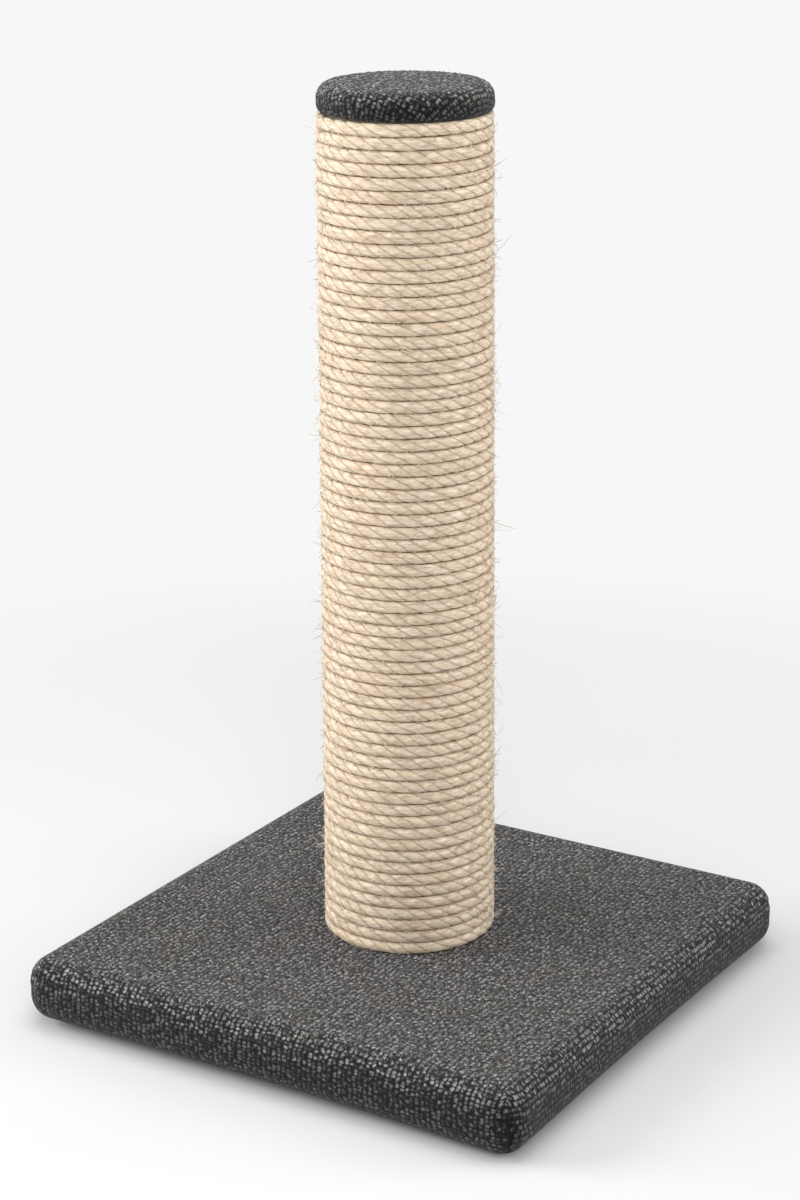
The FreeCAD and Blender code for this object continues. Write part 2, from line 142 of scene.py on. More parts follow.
def in_scene(name, data):
    """A new object of the scene, for a mesh, a lamp or a camera."""
    piece = bpy.data.objects.new(name, data)
    bpy.context.scene.collection.objects.link(piece)
    return piece


def add_object(name, mesh):
    piece = in_scene(name, mesh)
    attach(piece, "root")
    return piece


def mesh_of(name, points, faces):
    mesh = bpy.data.meshes.new(name)
    mesh.from_pydata(points, [], faces)
    mesh.polygons.foreach_set("use_smooth", [True] * len(mesh.polygons))
    mesh.update()
    return mesh


class Surface:
    """Faces welded at their points. Each corner keeps its place on the flat cloth."""

    def __init__(self):
        self.points = []
        self.found = {}
        self.faces = []
        self.flats = []

    def point(self, place):
        key = tuple(round(value * weld_scale) for value in place)
        if key not in self.found:
            self.found[key] = len(self.points)
            self.points.append(tuple(place))
        return self.found[key]

    def face(self, *corners):
        """One face, of corners that each have a place and a flat place."""
        kept = {}
        for place, flat in corners:
            kept.setdefault(self.point(place), flat)
        if len(kept) > 2:
            self.faces.append(list(kept))
            self.flats.append(list(kept.values()))

    def patch(self, place, flat, columns, rows, mirrored=False, flip=False):
        """Faces over a grid, where place and flat take a column and a row."""
        order = range(columns, -1, -1) if mirrored else range(columns + 1)
        grid = [[(place(column, row), flat(column, row)) for row in range(rows + 1)]
                for column in order]
        start = len(self.faces)
        for near, far in zip(grid, grid[1:]):
            for row in range(rows):
                self.face(near[row], far[row], far[row + 1], near[row + 1])
        if flip:
            for corners in self.faces[start:] + self.flats[start:]:
                corners.reverse()

    def mesh(self, name):
        mesh = mesh_of(name, self.points, self.faces)
        layer = mesh.uv_layers.new(name="flat_cloth")
        values = [value for face in self.flats for flat in face for value in flat]
        layer.uv.foreach_set("vector", values)
        return mesh


def even_steps(length, count):
    """Places along a length in about this many steps, from the first one to the end."""
    count = max(1, round(count))
    return [length * index / count for index in range(1, count + 1)]


def edge_angles(radius, step):
    """Angles round a quarter of an edge, in steps of about this length."""
    return even_steps(math.pi / 2, max(least_edge_steps, radius * math.pi / 2 / step))


def polar(radius, angle):
    return (radius * math.cos(angle), radius * math.sin(angle))


def turned(x, y, quarter):
    """The point turned by quarter turns about the Z axis."""
    for _ in range(quarter % 4):
        x, y = -y, x
    return x, y


def held(share):
    """The share kept from 0 to 1."""
    return min(1.0, max(0.0, share))


def bell(value, width):
    return math.exp(-(value / width) ** 2)


# ---- weave ----

def chance_at(column, row):
    """A fixed number from 0 to 1 for each nub."""
    value = math.sin(column * 12.9898 + row * 78.233) * 43758.5453
    return value - math.floor(value)


def nub_height(x, y):
    """Height of the weave at a place on the flat cloth: about 1 on a nub, 0 between nubs."""
    x += nub_wander * math.sin(y * 700 + 2 * math.sin(x * 290))
    y += nub_wander * math.sin(x * 620 + 2 * math.sin(y * 330))
    column, row = round(x / nub_width), round(y / nub_length)
    across, along = x / nub_width - column, y / nub_length - row
    size = 0.5 + 0.7 * chance_at(column, row)
    return size * math.cos(math.pi * across) ** 2 * (0.2 + 0.8 * math.cos(math.pi * along) ** 2)


# ---- base: cloth and wadding ----

def slab_profile(inset, bottom, top, hem, step):
    """Rows of the base's section, from a corner's centre out and under: reach, level and arc."""
    radius = base_edge_radius - inset
    reach = base_corner_fullness
    side = top - bottom - 2 * radius
    angles = edge_angles(radius, step)
    rows = [(0.0, top, 0.0), (reach, top, reach)]
    arc = reach
    for angle in angles:
        rows.append((reach + radius * math.sin(angle), top - radius * (1 - math.cos(angle)),
                     arc + radius * angle))
    arc += radius * math.pi / 2
    for down in even_steps(side, side / step):
        rows.append((reach + radius, top - radius - down, arc + down))
    arc += side
    for angle in angles:
        rows.append((reach + radius * math.cos(angle), bottom + radius * (1 - math.sin(angle)),
                     arc + radius * angle))
    arc += radius * math.pi / 2
    for under in even_steps(reach + hem, (reach + hem) / lining_step):
        rows.append((reach - under, bottom, arc + under))
    return rows


def corner_crease(angle, level):
    """How far the cloth draws in at a corner's fold, for an angle from its middle."""
    share = held((base_top - base_fold_start - level) / base_fold_run)
    fold = bell(angle, base_fold_width)
    wave = 0.5 + 0.5 * math.sin(angle * 24 + level * 310 + 2.2 * math.sin(level * 520))
    ruffle = 0.45 * wave * bell(angle, base_ruffle_width) * (1 - fold)
    return base_fold_depth * share * (fold + ruffle)


def roll_line(along, level, quarter):
    """How far the cloth draws in along the line under its padded edge."""
    drop = base_roll_drop + 0.8 * MM * math.sin(along * 60 + quarter)
    drop += 0.5 * MM * math.sin(along * 190)
    share = 0.65 + 0.35 * math.sin(along * 85 + 2.3 * quarter + math.sin(along * 210))
    return base_roll_depth * share * bell(level - base_top + drop, base_roll_width)


def underside_sag(x, y, level):
    """How far the lower half of the cloth hangs down near the corners."""
    corner = (1 if x > 0 else -1, 1 if y > 0 else -1)
    away = math.hypot(half_side - abs(x), half_side - abs(y))
    start = base_top - corner_sag_start
    share = held((start - level) / (start - hem_level))
    return corner_sag[corner] * share * bell(away, corner_sag_reach)


def top_wave(x, y):
    """Depth of the shallow waves in the cloth on the base's top, none at its edges."""
    edge = held((base_corner_centre - max(abs(x), abs(y))) / top_wave_margin)
    long_wave = math.sin(x * 95 - y * 38 + 1.7 * math.sin(y * 21 + 0.6))
    cross_wave = math.sin(y * 88 + x * 26 + 1.4 * math.sin(x * 33 + 2.0))
    return edge * top_wave_depth * (2 + long_wave + cross_wave)


def slab_surface(surface, rows, step, flip=False, crease=False):
    """One layer of the slab: top, four sides and what is turned under."""
    centre = base_corner_centre
    straight = round(2 * centre / step)
    arc_steps = max(least_edge_steps, round(base_edge_radius / step) * (3 if crease else 2))
    top = rows[0][1]

    def top_flat(column, row):
        return (-centre + 2 * centre * column / straight, -centre + 2 * centre * row / straight)

    def top_place(column, row):
        x, y = top_flat(column, row)
        return (x, y, top - top_wave(x, y) if crease else top)

    def side(quarter):
        def plan(column):
            """Place along the side, and the angle of the half corner that it lies on."""
            if column < arc_steps:
                return -centre, -math.pi / 4 * (arc_steps - column) / arc_steps
            if column > arc_steps + straight:
                return centre, math.pi / 4 * (column - arc_steps - straight) / arc_steps
            return -centre + 2 * centre * (column - arc_steps) / straight, 0.0

        def place(column, row):
            along, angle = plan(column)
            reach, level, _ = rows[row]
            if reach > 0:
                drawn = corner_crease(math.pi / 4 - abs(angle), level) if crease and angle else 0.0
                if crease:
                    drawn += roll_line(along, level, quarter) * math.cos(angle) ** 2
                x = along + (reach - drawn) * math.sin(angle)
                y = -centre - (reach - drawn) * math.cos(angle)
            else:
                x = along * (centre + reach) / centre
                y = -centre - reach
            x, y = turned(x, y, quarter)
            return (x, y, level - underside_sag(x, y, level))

        def flat(column, row):
            along, angle = plan(column)
            reach, _, arc = rows[row]
            if reach > 0:
                x, y = along + reach * angle, -centre - arc
            else:
                x, y = along * (centre + reach) / centre, -centre - arc
            return turned(x, y, quarter)

        return place, flat

    surface.patch(top_place, top_flat, straight, straight, flip=flip)
    for quarter in range(4):
        surface.patch(*side(quarter), 2 * arc_steps + straight, len(rows) - 1, mirrored=True,
                      flip=flip)


def slab_rim(surface, outer, inner):
    """Strip between the two layers at the raw edge of the hem."""
    reach, level, arc = outer[-1]
    inner_reach, inner_level, _ = inner[-1]
    edge, inner_edge = base_corner_centre + reach, base_corner_centre + inner_reach
    places = [(-edge, -edge, level), (edge, -edge, level),
              (inner_edge, -inner_edge, inner_level), (-inner_edge, -inner_edge, inner_level)]
    flats = [(-edge, -base_corner_centre - arc), (edge, -base_corner_centre - arc)]
    for quarter in range(4):
        surface.face(*[((*turned(x, y, quarter), z), turned(*flat, quarter))
                       for (x, y, z), flat in zip(places, flats + flats[::-1])])


def base_cloth():
    surface = Surface()
    hem = base_hem_width - base_edge_radius - base_corner_fullness
    outer = slab_profile(0.0, hem_level, base_top, hem, side_step)
    inner = slab_profile(cloth_thickness, hem_level + cloth_thickness, base_top - cloth_thickness,
                         hem, lining_step)
    slab_surface(surface, outer, cloth_step, crease=True)
    slab_surface(surface, inner, lining_step, flip=True)
    slab_rim(surface, outer, inner)
    piece = add_object("base_cloth", surface.mesh("base_cloth"))
    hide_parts("base_cover")
    return piece


def base_wadding():
    surface = Surface()
    stop = board_low.z + base_padding_stop
    outer = slab_profile(cloth_thickness, stop, base_top - cloth_thickness, 0.0, lining_step)
    inner = slab_profile(half_side - board_high.x, stop, board_high.z, 0.0, lining_step)
    slab_surface(surface, outer, lining_step)
    slab_surface(surface, inner, lining_step, flip=True)
    piece = add_object("base_wadding", surface.mesh("base_wadding"))
    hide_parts("base_padding")
    return piece


# ---- cap: cloth and wadding ----

def cap_profile(inset, bottom, hem_radius, step):
    """Rows of the cap's section, from the middle of its top, as radius, level and arc."""
    radius = cap_radius - inset
    top_edge = cap_top_edge_radius - inset
    lower_edge = max(cap_lower_edge_radius - inset, cloth_thickness)
    top = cap_high.z - cap_crown - inset
    flat_radius = radius - top_edge
    side = top - top_edge - bottom - lower_edge
    hem = radius - lower_edge - hem_radius
    angles = edge_angles(top_edge, step)
    rows = [(0.0, top + cap_crown)]
    for reach in even_steps(flat_radius, flat_radius / step):
        rows.append((reach, top + cap_crown * (1 - (reach / flat_radius) ** 2)))
    for angle in angles:
        rows.append((flat_radius + top_edge * math.sin(angle),
                     top - top_edge * (1 - math.cos(angle))))
    for down in even_steps(side, side / step):
        rows.append((radius, top - top_edge - down))
    for angle in angles:
        rows.append((radius - lower_edge * (1 - math.cos(angle)),
                     bottom + lower_edge * (1 - math.sin(angle))))
    for under in even_steps(hem, hem / step):
        rows.append((radius - lower_edge - under, bottom))
    arc = 0.0
    profile = [(*rows[0], arc)]
    for last, row in zip(rows, rows[1:]):
        arc += math.hypot(row[0] - last[0], row[1] - last[1])
        profile.append((*row, arc))
    return profile


def round_surface(surface, profile, columns, flip=False, relief=0.0):
    """Turned surface of the profile's rows. The weave sinks in from it by up to the relief."""
    def flat(column, row):
        return polar(profile[row][2], 2 * math.pi * column / columns)

    def place(column, row):
        radius, level, _ = profile[row]
        if relief and 0 < row < len(profile) - 1:
            before, after = profile[row - 1], profile[row + 1]
            along, down = after[0] - before[0], after[1] - before[1]
            sunk = relief * (1 - min(1.0, nub_height(*flat(column % columns, row))))
            depth = sunk / math.hypot(along, down)
            radius, level = radius + down * depth, level - along * depth
        return (*polar(radius, 2 * math.pi * (column % columns) / columns), level)

    surface.patch(place, flat, columns, len(profile) - 1, mirrored=True, flip=flip)


def round_rim(surface, outer, inner, columns):
    """Strip between the two layers at the raw edge of the hem."""
    arc = outer[-1][2]

    def place(column, row):
        radius, level, _ = (outer, inner)[row][-1]
        return (*polar(radius, 2 * math.pi * (column % columns) / columns), level)

    def flat(column, row):
        return polar(arc + row * cloth_thickness, 2 * math.pi * column / columns)

    surface.patch(place, flat, columns, 1, mirrored=True)


def cap_cloth():
    surface = Surface()
    hem_radius = cap_radius - cap_hem_width
    outer = cap_profile(0.0, cap_level, hem_radius, cap_step)
    inner = cap_profile(cloth_thickness, cap_level + cloth_thickness, hem_radius, cloth_step)
    round_surface(surface, outer, cap_columns, relief=nub_relief)
    round_surface(surface, inner, cap_columns, flip=True)
    round_rim(surface, outer, inner, cap_columns)
    piece = add_object("cap_cloth", surface.mesh("cap_cloth"))
    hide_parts("cap_cover")
    return piece


def cap_wadding():
    surface = Surface()
    stop = disc_low.z + cap_padding_stop
    outer = cap_profile(cloth_thickness, stop, disc_high.x, lining_step)
    inner = cap_profile(cap_radius - disc_high.x, stop, disc_high.x, lining_step)
    round_surface(surface, outer, cap_columns // 4)
    round_surface(surface, inner, cap_columns // 4, flip=True)
    piece = add_object("cap_wadding", surface.mesh("cap_wadding"))
    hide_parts("cap_padding")
    return piece


# ---- sisal rope ----

def soft_wander(turns, scale):
    """Smooth, seeded wander within one unit: the mean of a few waves along the turns."""
    waves = 4
    total = np.zeros_like(turns)
    for _ in range(waves):
        total += np.sin(turns * random.uniform(0.6, 1.4) * scale + random.uniform(0, 2 * math.pi))
    return total / waves


def unit(vectors):
    """The vectors at a length of 1."""
    return vectors / np.maximum(np.linalg.norm(vectors, axis=-1, keepdims=True), 1e-12)


class RopePath:
    """The rope's middle line at close steps, with its directions and its length so far. The first
    and last turns are pressed level against the base and the cap."""

    def __init__(self):
        self.first = rope_end_lead
        self.last = rope_turn_count - rope_end_lead
        length = 2 * math.pi * rope_mean_radius * (self.last - self.first)
        self.turns = np.linspace(self.first, self.last, round(length / (rope_ring_step / 2)))
        angle = rope_back_angle + 2 * math.pi * self.turns
        level = base_top + rope_pitch * self.wound(self.turns)
        level += rope_level_wander * soft_wander(self.turns, 9.0)
        low = np.maximum(level - rope_pitch / 2, base_top)
        high = np.minimum(level + rope_pitch / 2, cap_level - rope_end_gap)
        self.half_height = (high - low - rope_clearance) / 2
        self.half_width = rope_half_width((low + high) / 2)
        radius = tube_radius + rope_clearance + self.half_width
        radius += rope_radius_wander * soft_wander(self.turns, 11.0)
        self.outward = np.stack([np.cos(angle), np.sin(angle), np.zeros_like(angle)], 1)
        self.centre = self.outward * radius[:, None]
        self.centre[:, 2] = (low + high) / 2
        self.tangent = unit(np.gradient(self.centre, axis=0))
        self.upward = np.cross(self.outward, self.tangent)
        steps = np.linalg.norm(np.diff(self.centre, axis=0), axis=1)
        self.length = np.concatenate([[0.0], np.cumsum(steps)])

    @staticmethod
    def wound(turns):
        """Climb so far, in pitches: most at the back, least in front."""
        return turns + rope_extra_climb * np.sin(2 * math.pi * turns) / (2 * math.pi)

    def at(self, lengths):
        """Centre, outward, upward and tangent directions at these lengths."""
        return [np.stack([np.interp(lengths, self.length, axis) for axis in values.T], -1)
                for values in (self.centre, self.outward, self.upward, self.tangent)]

    def half_sizes_at(self, lengths):
        """Half the section's width and half its height."""
        return (np.interp(lengths, self.length, self.half_width),
                np.interp(lengths, self.length, self.half_height))

    def length_at(self, turn):
        return float(np.interp(turn, self.turns, self.length))


def rope_half_width(level):
    """Half the rope's width away from the tube, which depends on the height."""
    share = np.clip((level - base_top) / (cap_level - base_top), 0, 1)
    return (rope_width_bottom + (rope_width_top - rope_width_bottom) * share) / 2


def section_reach(angle, half_width, half_height):
    """From the middle to the edge of the pressed section, at an angle from outward to upward."""
    across = np.abs(np.cos(angle)) / half_width
    up = np.abs(np.sin(angle)) / half_height
    return (across ** rope_squareness + up ** rope_squareness) ** (-1 / rope_squareness)


def strand_crest(angle):
    """1 along the middle of a strand, down to 0 in the grooves between strands."""
    sector = 2 * math.pi / strand_count
    aside = np.abs((angle + sector / 2) % sector - sector / 2)
    return 1 - np.exp(-(aside / strand_groove_width) ** 2) - 0.2 * (1 - aside / (sector / 2)) ** 2


def lay_angle(lengths):
    """Angle by which the strands have turned, for a right-handed lay that isn't quite even."""
    return 0.6 * np.sin(lengths * 55) + 0.35 * np.sin(lengths * 131) - 2 * math.pi * lengths / rope_lay


def rope_surface(path, lengths, angle):
    """Distance from the rope's middle to its surface, and how near a strand's crest that is."""
    crest = strand_crest(angle - lay_angle(lengths))
    reach = section_reach(angle, *path.half_sizes_at(lengths))
    return reach * (1 - strand_groove * (1 - crest)), crest


def normal_at(angle, outward, upward):
    """Direction at an angle from outward to upward."""
    return np.cos(angle)[..., None] * outward + np.sin(angle)[..., None] * upward


def keep_on_points(mesh, name, kind, field, values):
    """Store a number or a vector for each point of the mesh."""
    layer = mesh.attributes.new(name, kind, "POINT")
    layer.data.foreach_set(field, np.asarray(values, dtype=np.float32).reshape(-1))


def ring_faces(rings, count, first=0):
    """Faces between rings of this many points each, counted from the first point's number."""
    faces = []
    for ring in range(rings):
        near = first + ring * count
        far = near + count
        for column in range(count):
            beside = (column + 1) % count
            faces.append((near + column, near + beside, far + beside, far + column))
    return faces


def rope_piece(path, name, first_turn, last_turn, node):
    """One stretch of the rope as a closed tube with three strands."""
    start, end = path.length_at(first_turn), path.length_at(last_turn)
    rings = round((end - start) / rope_ring_step)
    lengths = np.linspace(start, end, rings + 1)
    centre, outward, upward, _ = path.at(lengths)
    columns = np.concatenate([np.array(strand_columns) + 2 * math.pi * strand / strand_count
                              for strand in range(strand_count)])
    count = len(columns)
    lay = lay_angle(lengths)[:, None]
    angle = columns + lay
    along = np.broadcast_to(lengths[:, None], angle.shape)
    radius, crest = rope_surface(path, along, angle)
    points = centre[:, None] + radius[..., None] * normal_at(angle, outward[:, None], upward[:, None])
    faces = ring_faces(rings, count)
    faces.append(tuple(reversed(range(count))))
    faces.append(tuple(range(rings * count, (rings + 1) * count)))
    mesh = mesh_of(name, points.reshape(-1, 3).tolist(), faces)
    for cap in mesh.polygons[-2:]:
        cap.use_smooth = False
    half_width, half_height = (half[:, None] for half in path.half_sizes_at(lengths))
    strand = np.repeat(np.arange(strand_count), len(strand_columns))
    # The crest also goes into the finish, which paints shade into the grooves between strands.
    around = (columns + fibre_lay * lay) * half_width + strand_streak_shift * strand
    keep_on_points(mesh, "straight", "FLOAT_VECTOR", "vector", np.stack([around, crest, along], -1))
    # Height across the section, up to the faces where turns meet; the finish paints gap shade there.
    up = radius * np.sin(angle)
    open_side = (((along > path.length_at(path.last - 1)) & (up > 0))
                 | ((along < path.length_at(path.first + 1)) & (up < 0)))
    pressed = up / half_height * np.where(open_side, open_side_press, 1.0)
    keep_on_points(mesh, "pressed", "FLOAT", "value", pressed)
    piece = add_object(name, mesh)
    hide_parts(node)
    return piece


def hair_mesh(name, lines, radii, straight):
    """Three-sided tubes with pointed ends along lines of shape (hairs, points, 3)."""
    hairs, count, _ = lines.shape
    along = unit(np.gradient(lines, axis=1))
    askew = np.array([0.31, 0.17, 0.93])
    aside = unit(np.cross(along, askew))
    across = np.cross(along, aside)
    inner = count - 2
    sides = []
    for index in range(hair_sides):
        angle = 2 * math.pi * index / hair_sides
        offset = aside * math.cos(angle) + across * math.sin(angle)
        sides.append(lines[:, 1:-1] + offset[:, 1:-1] * radii[:, None, None])
    body = np.stack(sides, 2).reshape(hairs, inner * hair_sides, 3)
    points = np.concatenate([lines[:, :1], body, lines[:, -1:]], 1)
    last = inner * hair_sides + 1
    low, high = 1, last - hair_sides
    own = [(0, low + (index + 1) % hair_sides, low + index) for index in range(hair_sides)]
    own += ring_faces(inner - 1, hair_sides, 1)
    own += [(last, high + index, high + (index + 1) % hair_sides) for index in range(hair_sides)]
    per_hair = last + 1
    faces = [tuple(corner + hair * per_hair for corner in face)
             for hair in range(hairs) for face in own]
    mesh = mesh_of(name, points.reshape(-1, 3).tolist(), faces)
    kept = np.repeat(straight[:, None, :], per_hair, 1)
    keep_on_points(mesh, "straight", "FLOAT_VECTOR", "vector", kept)
    return mesh


def held_on_hairs(start):
    """What the finish reads on each hair: a place round the rope, a paleness and a length."""
    count = len(start)
    return np.stack([random.uniform(0, 20, count) * MM, random.uniform(0.0, 1.5, count), start], 1)


def surface_fibres(path, count):
    """Fibres that lie along the rope, slightly raised from it."""
    steps = np.linspace(0, 1, lying_hair_points)
    start = random.uniform(0, path.length[-1] - hair_margin, count)
    span = random.uniform(5, 20, count) * MM
    lengths = start[:, None] + span[:, None] * steps
    facing = random.uniform(-1.5, 1.5, count)
    drift = random.normal(0.0, 0.5, count)
    angle = facing[:, None] + drift[:, None] * (steps - 0.5)
    lift = random.uniform(0.02, 0.25, count) * MM
    radius, _ = rope_surface(path, lengths, angle)
    radius = radius + lift[:, None] * np.sin(math.pi * steps)
    centre, outward, upward, _ = path.at(lengths)
    lines = centre + radius[..., None] * normal_at(angle, outward, upward)
    return lines, start


def crossing_fibres(path, count):
    """Short fibres that lie across the gap between two turns."""
    steps = np.linspace(0, 1, lying_hair_points)
    start = random.uniform(crossing_margin, path.length[-1] - crossing_margin, count)
    span = random.normal(0, 2.2, count) * MM
    climb = random.uniform(0.8, 2.6, count) * MM
    centre, _, _, tangent = path.at(start)
    half_width, half_height = path.half_sizes_at(start)
    middle = half_height + random.normal(0, 0.4, count) * MM
    rise = middle[:, None] + climb[:, None] * (steps - 0.5)
    curl = random.normal(0, 0.5, count)[:, None] * MM * np.sin(math.pi * steps)
    aside = span[:, None] * (steps - 0.5) + curl
    lines = centre[:, None, :] + aside[..., None] * tangent[:, None, :]
    lines[..., 2] = centre[:, 2:3] + rise
    lift = (random.uniform(0.1, 0.5, count)[:, None] * np.sin(math.pi * steps) - 0.38) * MM
    reach = tube_radius + rope_clearance + 2 * half_width[:, None] + lift
    scale = reach / np.hypot(lines[..., 0], lines[..., 1])
    lines[..., :2] *= scale[..., None]
    return lines, start


def curled_lines(root, heading, curl, reach):
    """Hair lines that leave their roots along a heading and curl away, clear of the post."""
    along = np.linspace(0, 1, loose_hair_points)[None, :, None]
    lines = root[:, None] + reach * (heading[:, None] * along + curl[:, None] * along ** 2)
    return clear_of_post(lines)


def loose_fibres(path, count):
    """Fibres that have come loose and curl away from the rope. Most are short."""
    start = random.uniform(hair_margin, path.length[-1] - hair_margin, count)
    facing = random.uniform(-1.2, 1.2, count)
    centre, outward, upward, tangent = path.at(start)
    radius = rope_surface(path, start, facing)[0] - 0.15 * MM
    normal = normal_at(facing, outward, upward)
    root = centre + normal * radius[:, None]
    way = random.choice([-1.0, 1.0], count)[:, None]
    heading = tangent * way + normal * random.uniform(0.2, 1.3, count)[:, None]
    heading[:, 2] += random.normal(-0.1, 0.45, count)
    reach = np.minimum(random.gamma(1.5, 1.5, count) + 1.3, 10.0)[:, None, None] * MM
    curl = random.normal(0, 0.4, (count, 3)) - 0.1 * outward
    return curled_lines(root, unit(heading), curl, reach), start


def end_tufts(path, count):
    """Frayed fibres at the rope's two ends."""
    ends = np.array([0.0, path.length[-1]])[random.integers(0, 2, count)]
    centre, outward, upward, tangent = path.at(ends)
    way = np.where(ends > 0, 1.0, -1.0)[:, None]
    normal = normal_at(random.uniform(0, 2 * math.pi, count), outward, upward)
    root = centre + normal * random.uniform(0.2, 2.2, count)[:, None] * MM - tangent * way * 0.5 * MM
    heading = tangent * way + normal * random.uniform(0.0, 0.3, count)[:, None]
    reach = random.uniform(3.0, 9.0, count)[:, None, None] * MM
    curl = random.normal(0, 0.2, (count, 3))
    return curled_lines(root, heading, curl, reach), ends


def clear_of_post(lines):
    """Hair lines kept outside the rope, above the base and below the cap."""
    radius = np.hypot(lines[..., 0], lines[..., 1])
    outer_radius = tube_radius + rope_clearance + 2 * rope_half_width(lines[..., 2])
    lines[..., :2] *= (np.maximum(radius, outer_radius - hair_sink) / radius)[..., None]
    lines[..., 2] = np.clip(lines[..., 2], base_top + hair_clearance, cap_level - hair_clearance)
    return lines


def rope_pieces(path):
    """The rope in stretches that meet at the back, and its fibres."""
    cut = path.last - (formed_turns - 2 * rope_end_lead)
    made = []
    for node, low, high, stretches, label in (
        ("sisal_rope_lower", path.first, cut, 3, "sisal_lower"),
        ("sisal_rope_upper", cut, path.last, 2, "sisal_upper"),
    ):
        edges = np.linspace(low, high, stretches + 1)
        edges[1:-1] = np.round(edges[1:-1])
        for number, (start, end) in enumerate(zip(edges, edges[1:]), 1):
            made.append(rope_piece(path, "%s_%d" % (label, number), start, end, node))
    for name, build, count, thin, thick in (
        ("sisal_surface_fibres", surface_fibres, 5200, 0.06, 0.13),
        ("sisal_crossing_fibres", crossing_fibres, 5600, 0.09, 0.18),
        ("sisal_loose_fibres", loose_fibres, 6500, 0.10, 0.19),
        ("sisal_end_tufts", end_tufts, 140, 0.06, 0.12),
    ):
        lines, start = build(path, count)
        radii = random.uniform(thin, thick, count) * MM
        hairs = hair_mesh(name, lines, radii, held_on_hairs(start))
        made.append(add_object(name, hairs))
    return made


# ---- materials ----

class Nodes:
    """A node tree under construction, with short calls for its nodes."""

    def __init__(self, tree):
        self.tree = tree

    def node(self, kind, inputs=None, **settings):
        """A new shader node with these inputs, each a value or a socket."""
        made = self.tree.nodes.new("ShaderNode" + kind)
        for key, value in settings.items():
            setattr(made, key, value)
        for key, value in (inputs or {}).items():
            self.set(made.inputs[key], value)
        return made

    def set(self, socket, value):
        if isinstance(value, bpy.types.NodeSocket):
            self.tree.links.new(value, socket)
        else:
            socket.default_value = value

    def math(self, operation, *values):
        return self.node("Math", dict(enumerate(values)), operation=operation).outputs[0]


class Finish(Nodes):
    """A material under construction."""

    def __init__(self, name):
        self.material = bpy.data.materials.new(name)
        self.material.use_nodes = True
        super().__init__(self.material.node_tree)
        self.shader = self.tree.nodes["Principled BSDF"]

    def shade(self, **values):
        """Set the shader's inputs, and give the material."""
        for key, value in values.items():
            self.set(self.shader.inputs[key.replace("_", " ").title().replace("Ior", "IOR")], value)
        return self.material

    def times(self, first, second, plus=None):
        """The product of two values, plus a third one if there is one."""
        if plus is None:
            return self.math("MULTIPLY", first, second)
        return self.math("MULTIPLY_ADD", first, second, plus)

    def range(self, value, low, high, new_low=0.0, new_high=1.0):
        made = self.node("MapRange", {
            "Value": value, "From Min": low, "From Max": high, "To Min": new_low, "To Max": new_high,
        })
        return made.outputs[0]

    def scaled(self, vector, scale, rotation=(0, 0, 0)):
        made = self.node("Mapping", {"Vector": vector, "Scale": scale, "Rotation": rotation})
        return made.outputs[0]

    def noise(self, vector, scale=1.0, detail=3.0, roughness=0.55, distortion=0.0):
        made = self.node("TexNoise", {
            "Vector": vector, "Scale": scale, "Detail": detail, "Roughness": roughness,
            "Distortion": distortion,
        })
        return made.outputs[0]

    def voronoi(self, vector, scale=1.0, randomness=1.0, dimensions="3D"):
        """Distance from the nearest cell's middle, and a chance value for the cell."""
        inputs = {"Vector": vector, "Scale": scale, "Randomness": randomness}
        cells = self.node("TexVoronoi", inputs, voronoi_dimensions=dimensions).outputs
        parts = self.node("SeparateColor", {"Color": cells["Color"]}).outputs
        return cells["Distance"], parts[0]

    def ramp(self, value, *stops):
        """Colour over a value, by stops of a position and a colour or a grey."""
        made = self.node("ValToRGB", {"Fac": value})
        elements = made.color_ramp.elements
        while len(elements) < len(stops):
            elements.new(0.5)
        for element, (position, colour) in zip(elements, stops):
            element.position = position
            element.color = (*colour, 1.0) if isinstance(colour, tuple) else (*[colour] * 3, 1.0)
        return made.outputs[0]

    def tinted(self, colour, tint, share=1.0):
        """The colour multiplied by a tint, wholly or by a share."""
        tint = (*tint, 1.0) if isinstance(tint, tuple) else tint
        made = self.node("Mix", {"Factor": share, 6: colour, 7: tint}, data_type="RGBA",
                         blend_type="MULTIPLY")
        return made.outputs[2]

    def bump(self, height, strength, distance):
        inputs = {"Height": height, "Strength": strength, "Distance": distance}
        return self.node("Bump", inputs).outputs[0]

    def geometry(self, output="Position"):
        return self.node("NewGeometry").outputs[output]

    def attribute(self, name, output="Vector"):
        return self.node("Attribute", attribute_name=name).outputs[output]

    def parts(self, vector):
        """The X, Y and Z of a vector."""
        return self.node("SeparateXYZ", {"Vector": vector}).outputs[:]


def painted_fold_shade(made):
    """Painted shade: 1 all over, less in the fold at each of the base's corners."""
    place = made.geometry()
    x, y, z = made.parts(place)
    past = [made.math("SUBTRACT", made.math("ABSOLUTE", part), base_corner_centre) for part in (x, y)]
    outside = made.math("GREATER_THAN", made.math("MINIMUM", *past), 0.0)
    ragged = made.noise(place, 420.0, 2.0)
    angle = made.math("ABSOLUTE", made.math("SUBTRACT", made.math("ARCTAN2", *past), math.pi / 4))
    angle = made.times(ragged, -0.40, made.math("ADD", angle, 0.20))
    fold = made.range(angle, 0.13, 0.04)
    lower = made.range(z, base_top - 9 * MM, base_top - 15 * MM)
    return made.times(made.times(made.times(fold, lower), outside), -0.45, 1.0)


